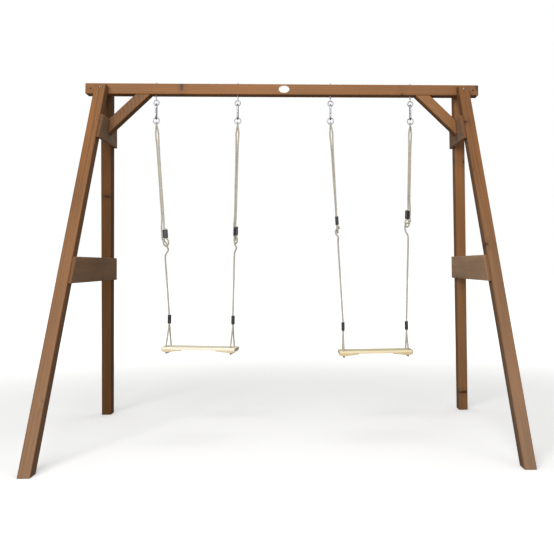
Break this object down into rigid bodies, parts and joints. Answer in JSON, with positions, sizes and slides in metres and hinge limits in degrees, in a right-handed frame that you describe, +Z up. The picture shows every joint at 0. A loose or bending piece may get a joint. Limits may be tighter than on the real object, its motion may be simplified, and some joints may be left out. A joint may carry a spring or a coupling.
{
  "type": "swing set",
  "caption": "Timber swing set: a beam on splayed A-frames with knee braces carries board seats on adjustable ropes with snap hooks.",
  "frame": {"origin": "bottom centre of the bounding box, on the ground under the middle of the beam", "axes": "+X along the beam towards the right swing, +Y to the back, +Z up"},
  "size_m": [2.482, 1.9118, 2.084],
  "materials": {
    "stained_timber": "brown-stained softwood, satin",
    "pine": "plain planed pine",
    "rope": "laid cord, matt",
    "black_plastic": "moulded, ribbed",
    "zinc_steel": "bright zinc plate",
    "badge_plastic": "plain off-white"
  },
  "bodies": {
    "frame": {"top_beam": "stained_timber", "leg_front_left": "stained_timber", "leg_back_left": "stained_timber", "leg_front_right": "stained_timber", "leg_back_right": "stained_timber", "lower_crossboard_left": "stained_timber", "lower_crossboard_right": "stained_timber", "upper_crossboard_left": "stained_timber", "upper_crossboard_right": "stained_timber", "knee_brace_left": "stained_timber", "knee_brace_right": "stained_timber", "leg_bolt_left": "zinc_steel", "leg_bolt_right": "zinc_steel", "leg_nut_left": "zinc_steel", "leg_nut_right": "zinc_steel", "crossboard_screws": "zinc_steel", "knee_brace_screws": "zinc_steel", "badge_plate": "badge_plastic", "badge_pins": "zinc_steel", "eye_bolt_left_outer": "zinc_steel", "eye_bolt_left_inner": "zinc_steel", "eye_bolt_right_outer": "zinc_steel", "eye_bolt_right_inner": "zinc_steel", "eye_bolt_nuts": "zinc_steel", "eye_bolt_washers": "zinc_steel"},
    "left_hooks": {"snap_hook_left_outer": "zinc_steel", "snap_hook_left_inner": "zinc_steel"},
    "left_outer_gate": {"snap_gate_left_outer": "zinc_steel"},
    "left_inner_gate": {"snap_gate_left_inner": "zinc_steel"},
    "left_ropes": {"ring_left_outer": "zinc_steel", "ring_left_inner": "zinc_steel", "rope_left_outer": "rope", "rope_left_inner": "rope", "adjuster_left_outer": "black_plastic", "adjuster_left_inner": "black_plastic"},
    "left_seat": {"rope_clamp_left_outer": "black_plastic", "rope_clamp_left_inner": "black_plastic", "rope_loop_left_outer": "rope", "rope_loop_left_inner": "rope", "seat_left": "pine", "seat_battens_left": "pine", "seat_screws_left": "zinc_steel"},
    "right_hooks": {"snap_hook_right_outer": "zinc_steel", "snap_hook_right_inner": "zinc_steel"},
    "right_outer_gate": {"snap_gate_right_outer": "zinc_steel"},
    "right_inner_gate": {"snap_gate_right_inner": "zinc_steel"},
    "right_ropes": {"ring_right_outer": "zinc_steel", "ring_right_inner": "zinc_steel", "rope_right_outer": "rope", "rope_right_inner": "rope", "adjuster_right_outer": "black_plastic", "adjuster_right_inner": "black_plastic"},
    "right_seat": {"rope_clamp_right_outer": "black_plastic", "rope_clamp_right_inner": "black_plastic", "rope_loop_right_outer": "rope", "rope_loop_right_inner": "rope", "seat_right": "pine", "seat_battens_right": "pine", "seat_screws_right": "zinc_steel"}
  },
  "joints": [
    {"name": "left_swing", "type": "hinge", "parent": "frame", "child": "left_hooks", "pos_m": [-0.516, 0, 1.947], "axis": [1, 0, 0], "range_deg": [-45, 45]},
    {"name": "left_ring_tilt", "type": "hinge", "parent": "left_hooks", "child": "left_ropes", "pos_m": [-0.516, 0, 1.8741], "axis": [1, 0, 0], "range_deg": [-20, 20]},
    {"name": "left_seat_tip", "type": "hinge", "parent": "left_ropes", "child": "left_seat", "pos_m": [-0.48722, -0.00032, 0.70298], "axis": [0.9934, -0.1132, -0.0157], "range_deg": [-18, 18]},
    {"name": "left_outer_gate_open", "type": "hinge", "parent": "left_hooks", "child": "left_outer_gate", "pos_m": [-0.756, -0.01408, 1.89622], "axis": [-1, 0, 0], "range_deg": [0, 15], "stiffness_Nm_per_rad": 0.02},
    {"name": "left_inner_gate_open", "type": "hinge", "parent": "left_hooks", "child": "left_inner_gate", "pos_m": [-0.276, -0.01408, 1.89622], "axis": [-1, 0, 0], "range_deg": [0, 15], "stiffness_Nm_per_rad": 0.02},
    {"name": "right_swing", "type": "hinge", "parent": "frame", "child": "right_hooks", "pos_m": [0.516, 0, 1.947], "axis": [1, 0, 0], "range_deg": [-45, 45]},
    {"name": "right_ring_tilt", "type": "hinge", "parent": "right_hooks", "child": "right_ropes", "pos_m": [0.516, 0, 1.8741], "axis": [1, 0, 0], "range_deg": [-20, 20]},
    {"name": "right_seat_tip", "type": "hinge", "parent": "right_ropes", "child": "right_seat", "pos_m": [0.53388, -0.00002, 0.657], "axis": [0.9998, 0.0175, 0.007], "range_deg": [-18, 18]},
    {"name": "right_outer_gate_open", "type": "hinge", "parent": "right_hooks", "child": "right_outer_gate", "pos_m": [0.756, -0.01408, 1.89622], "axis": [-1, 0, 0], "range_deg": [0, 15], "stiffness_Nm_per_rad": 0.02},
    {"name": "right_inner_gate_open", "type": "hinge", "parent": "right_hooks", "child": "right_inner_gate", "pos_m": [0.276, -0.01408, 1.89622], "axis": [-1, 0, 0], "range_deg": [0, 15], "stiffness_Nm_per_rad": 0.02}
  ]
}
